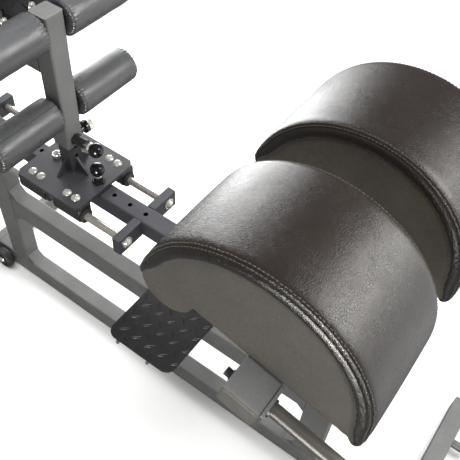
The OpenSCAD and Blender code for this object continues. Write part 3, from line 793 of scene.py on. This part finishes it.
def make_tread(node, name, faces_up, start):
    """The CAD plate with eased edges and alternating bars raised on its face."""
    low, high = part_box(node)
    plate = world_copy(node, name)
    tree = surface_tree(plate)
    m = plate.modifiers.new("ease", "BEVEL")
    m.width = 0.8 * MM
    m.segments = 2
    m.angle_limit = radians(40)
    apply_modifiers(plate)
    mid = (low + high) / 2
    if faces_up:
        place = Matrix.Translation((0, mid.y, high.z))
        reach = (high.x, high.y - mid.y)
        first = (low.x, low.y - mid.y)
    else:                                         # faces +X: the pattern's x runs down, its y along Y
        upright = Matrix(((0, 0, 1), (0, 1, 0), (-1, 0, 0))).to_4x4()
        place = Matrix.Translation((high.x, mid.y, mid.z)) @ upright
        reach = (high.z - mid.z, high.y - mid.y)
        first = (-reach[0], -reach[1])
    down = place.to_3x3() @ Vector((0, 0, -1))

    def on_face(x, y):
        hit, _, _, depth = tree.ray_cast(place @ Vector((x, y, PROBE_HEIGHT)), down)
        return hit is not None and abs(depth - PROBE_HEIGHT) < 0.3 * MM

    verts, faces = [], []
    count = [int((reach[k] - first[k]) / TREAD_PITCH[k]) + 3 for k in (0, 1)]
    for i in range(-count[0], count[0]):
        for j in range(-count[1], count[1]):
            for kind, angle in enumerate(TREAD_ANGLES):
                c = np.array([start[0] + (i + kind / 2) * TREAD_PITCH[0],
                              start[1] + (j + kind / 2) * TREAD_PITCH[1]])
                if all(first[k] - TREAD_MARGIN < c[k] < reach[k] + TREAD_MARGIN for k in (0, 1)):
                    v, f = lozenge(c, angle, on_face)
                    base = len(verts)
                    verts += [place @ Vector(q) for q in v]
                    faces += [tuple(q + base for q in face) for face in f]
    bars = bpy.data.meshes.new("bars")
    bars.from_pydata([tuple(v) for v in verts], [], faces)
    bm = bmesh.new()
    bm.from_mesh(plate.data)
    bm.from_mesh(bars)
    bm.to_mesh(plate.data)
    bm.free()
    bpy.data.meshes.remove(bars)
    fix_normals(plate)
    plate.data.shade_smooth()
    plate.data.set_sharp_from_angle(angle=radians(20))
    return settle(plate, body_of(node), "tread_paint", node)


def world_copy(node, name):
    """A copy of a CAD node's mesh in the row frame, with coinciding corners joined."""
    data = nodes[node].data.copy()
    data.transform(nodes[node].matrix_world)
    obj = bpy.data.objects.new(name, data)
    scene.collection.objects.link(obj)
    bm = bmesh.new()
    bm.from_mesh(data)
    bmesh.ops.remove_doubles(bm, verts=bm.verts, dist=0.01 * MM)
    bmesh.ops.dissolve_limit(bm, angle_limit=radians(1), verts=bm.verts, edges=bm.edges)
    bm.to_mesh(data)
    bm.free()
    return obj


# ---------------------------------------------------------------- turned pieces

def turned(name, profile, centre, axis, look, body, slot, ripple=None, sides=48, replaced=()):
    """Solid of revolution. profile: (distance along axis, radius) pairs from end to end.
    ripple: (first row, last row, teeth, depth) of a knurl."""
    turn = Vector((0, 0, 1)).rotation_difference(Vector(axis)).to_matrix()
    verts, faces = [], []
    for k, (h, r) in enumerate(profile):
        for j in range(sides):
            a = tau * j / sides
            rr = r
            if ripple and ripple[0] <= k <= ripple[1]:
                rr = r - ripple[3] * (0.5 + 0.5 * cos(ripple[2] * a))
            verts.append(Vector(centre) + turn @ Vector((rr * cos(a), rr * sin(a), h)))
    for k in range(len(profile) - 1):
        for j in range(sides):
            faces.append((k * sides + j, k * sides + (j + 1) % sides,
                          (k + 1) * sides + (j + 1) % sides, (k + 1) * sides + j))
    faces.append(tuple(range(sides))[::-1])
    faces.append(tuple((len(profile) - 1) * sides + j for j in range(sides)))
    obj = mesh_piece(name, verts, faces, look)
    fix_normals(obj)
    obj.data.set_sharp_from_angle(angle=radians(35))
    return settle(obj, body, slot, *replaced)


def make_knobs():
    """Chrome rings under the ball knobs, and the clamp's black disc with a knurled chrome rim."""
    ring = [(-3.4, 8.6), (-3.4, 10.2), (-2.8, 10.9), (2.8, 10.9), (3.4, 10.2), (3.4, 8.6)]
    ring = [(h * MM, r * MM) for h, r in ring]
    for node, axis in (("index_knob", (0, 0, 1)), ("post_knob", (1, 0, 0))):
        low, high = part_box(node)
        top = high.z if axis[2] else high.x
        centre = (low + high) / 2
        size = high.y - low.y
        if axis[2]:
            centre.z = top - size - 0.3 * MM
        else:
            centre.x = top - size - 0.3 * MM
        turned(f"{node}_ring", ring, centre, axis, "chrome", body_of(node), "chrome")
    low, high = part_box("clamp_knob")
    centre = (low + high) / 2
    r = (high.x - low.x) / 2
    y0, y1 = low.y, high.y
    neck = y1 - 26 * MM
    body = [(y0, 3.9 * MM), (neck - 15 * MM, 3.9 * MM), (neck - 15 * MM, 8 * MM), (neck - 14 * MM, 9 * MM),
            (neck, 9 * MM), (neck + 1 * MM, 11 * MM), (neck + 3 * MM, r - 2 * MM),
            (neck + 4 * MM, r - 0.6 * MM), (neck + 12 * MM, r - 0.6 * MM), (neck + 13 * MM, r - 2 * MM)]
    rim = [(neck + 12.5 * MM, r - 3 * MM), (neck + 13 * MM, r - 0.8 * MM), (neck + 14 * MM, r),
           (y1 - 2 * MM, r), (y1 - 0.8 * MM, r - 0.8 * MM), (y1, r - 2.6 * MM), (y1, r - 7 * MM),
           (y1 - 1.5 * MM, r - 8 * MM)]
    place = Vector((centre.x, 0, centre.z))
    turned("clamp_grip", body, place, (0, 1, 0), "knob_plastic", "clamp", "knob_plastic",
           replaced=("clamp_knob",))
    turned("clamp_rim", rim, place, (0, 1, 0), "chrome", "clamp", "chrome", (1, 5, 30, 0.6 * MM), 120,
           replaced=("clamp_knob",))


# ---------------------------------------------------------------- welds

WELD_STEP = 1.3 * MM


def weld(name, corners, normal, body, look, radius=2.6 * MM):
    """A rippled bead all round a joint, along straight stretches between its corners."""
    pts = [Vector(c) for c in corners]
    path = []
    for a, b in zip(pts, pts[1:] + pts[:1]):
        count = max(2, int((b - a).length / WELD_STEP))
        path += [a.lerp(b, k / count) for k in range(count)]
    n = Vector(normal)
    rows = []
    for k, p in enumerate(path):
        after = path[(k + 2) % len(path)]
        rows.append((p, (after - path[k - 2]).normalized(), n))

    def ripple(k):
        return radius * (0.86 + 0.16 * abs(sin(k * 0.78)) + 0.06 * noise.noise(Vector((k * 0.21, 0, 0))))

    verts, faces = tube_mesh(rows, ripple, 8, closed=True)
    return settle(mesh_piece(name, verts, faces, look), body, look)


def tube_welds():
    """Beads where the frame's tubes meet, and round the foot of the post stub."""
    leg_low, leg_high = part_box("rear_leg")
    up_low, up_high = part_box("front_upright")
    beam_low, beam_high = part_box("main_beam")
    base_low, base_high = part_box("base_tube")
    rail_low, rail_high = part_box("carriage_beam")
    half = leg_high.y

    def flat(name, x0, x1, z, body="root", y=half, look="frame_paint"):
        weld(name, [(x0, -y, z), (x1, -y, z), (x1, y, z), (x0, y, z)], (0, 0, 1), body, look)

    def upright(name, x, z0, z1):
        weld(name, [(x, -half, z0), (x, half, z0), (x, half, z1), (x, -half, z1)], (1, 0, 0), "root",
             "frame_paint")

    flat("weld_leg_foot", leg_low.x, leg_high.x, leg_low.z)
    flat("weld_leg_top", leg_low.x, leg_high.x, leg_high.z)
    flat("weld_upright_foot", up_low.x, up_high.x, up_low.z)
    upright("weld_beam_rear", beam_low.x, beam_low.z, beam_high.z)
    upright("weld_beam_front", beam_high.x, beam_low.z, beam_high.z)
    upright("weld_carriage_beam_front", rail_high.x, rail_low.z, rail_high.z)
    upright("weld_rear_foot", base_low.x, base_low.z, base_high.z)
    upright("weld_front_foot", base_high.x, base_low.z, base_high.z)
    post_low, post_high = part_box("foot_post")
    plate_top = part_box("carriage_plate")[1].z
    mid = (post_low.x + post_high.x) / 2
    stub = 20 * MM
    flat("weld_stub", mid - stub, mid + stub, plate_top, "carriage", stub, "carriage_paint")


# ---------------------------------------------------------------- stage, light, camera

def make_stage():
    """A wide pale floor."""
    data = bpy.data.meshes.new("floor")
    half = 14
    corners = [(-half, -half, 0), (half, -half, 0), (half, half, 0), (-half, half, 0)]
    data.from_pydata(corners, [], [(0, 1, 2, 3)])
    floor = bpy.data.objects.new("floor", data)
    scene.collection.objects.link(floor)
    s = Shader("pale_floor", (0.74, 0.74, 0.735), 0.8)
    s.color(s.mix(s.span(s.noise(0.8, 3), 0.3, 0.7), (0.73, 0.732, 0.728), (0.75, 0.752, 0.748)))
    data.materials.append(s.mat)
    floor.visible_glossy = False


def area_light(name, place, target, size, power, color=(1, 1, 1)):
    light = bpy.data.lights.new(name, "AREA")
    light.shape = "RECTANGLE"
    light.size, light.size_y = size
    light.energy = power
    light.color = color
    obj = bpy.data.objects.new(name, light)
    scene.collection.objects.link(obj)
    obj.location = place
    obj.rotation_euler = (Vector(target) - Vector(place)).to_track_quat("-Z", "Y").to_euler()
    obj.visible_camera = False
    return obj


def make_world():
    """Dim surroundings, brighter low down behind on both sides."""
    world = bpy.data.worlds.new("studio")
    scene.world = world
    world.use_nodes = True
    tree = world.node_tree
    background = tree.nodes["Background"]
    coord = tree.nodes.new("ShaderNodeTexCoord").outputs["Generated"]
    glow = None
    for direction, start, strength in (((-0.80, 0.56, -0.25), 0.90, 0.6), ((0.76, 0.57, -0.20), 0.66, 1.3)):
        dot = tree.nodes.new("ShaderNodeVectorMath")
        dot.operation = "DOT_PRODUCT"
        tree.links.new(coord, dot.inputs[0])
        dot.inputs[1].default_value = Vector(direction).normalized()
        span = tree.nodes.new("ShaderNodeMapRange")
        span.interpolation_type = "SMOOTHSTEP"
        tree.links.new(dot.outputs["Value"], span.inputs["Value"])
        span.inputs["From Min"].default_value = start
        span.inputs["From Max"].default_value = 1.0
        span.inputs["To Min"].default_value = 0.13
        span.inputs["To Max"].default_value = strength
        if glow:
            add = tree.nodes.new("ShaderNodeMath")
            tree.links.new(glow, add.inputs[0])
            tree.links.new(span.outputs["Result"], add.inputs[1])
            glow = add.outputs["Value"]
        else:
            glow = span.outputs["Result"]
    tree.links.new(glow, background.inputs["Strength"])
    background.inputs["Color"].default_value = (1.0, 1.0, 1.0, 1)


def make_camera():
    """The photograph's view, as fitted to the straight edges of the frame."""
    data = bpy.data.cameras.new("camera")
    data.sensor_width = 36
    data.lens = 51.82
    data.clip_end = 60
    cam = bpy.data.objects.new("camera", data)
    scene.collection.objects.link(cam)
    right = Vector((0.8104, 0.5833, 0.0546))
    up = Vector((-0.4802, 0.6079, 0.6323))
    back = Vector((0.3357, -0.5387, 0.7728))
    turn = Matrix((right, up, back)).transposed().to_4x4()
    cam.matrix_world = Matrix.Translation((0.59618, -0.76422, 1.89433)) @ turn
    scene.camera = cam


make_camera()
make_world()
make_stage()
area_light("left_softbox", (-1.3, 1.2, 1.15), (0.25, -0.1, 1.1), (1.0, 2.1), 44)
area_light("right_softbox", (2.07, 1.05, 2.3), (0.46, -0.25, 1.1), (1.4, 1.3), 64, (1.0, 0.98, 0.94))
fill = area_light("front_fill", (1.2, -2.6, 1.0), (0.1, 0, 0.7), (1.0, 0.6), 8, (1.0, 0.93, 0.84))
fill.visible_glossy = False
strip = area_light("front_strip", (0.85, -1.78, 0.65), (0.5, -0.3, 1.05), (0.7, 0.9), 72, (1.0, 0.97, 0.9))
strip.visible_diffuse = False
top = area_light("ceiling", (0.0, 0.2, 4.2), (0, 0, 0), (4.5, 4.5), 420)
top.visible_glossy = False
scene.view_settings.view_transform = "Standard"

make_pads()
make_rollers()
make_tread("step_plate", "step_tread", True, (-55 * MM, -134.4 * MM))
make_tread("foot_plate", "foot_tread", False, (0, 0))
make_knobs()
tube_welds()
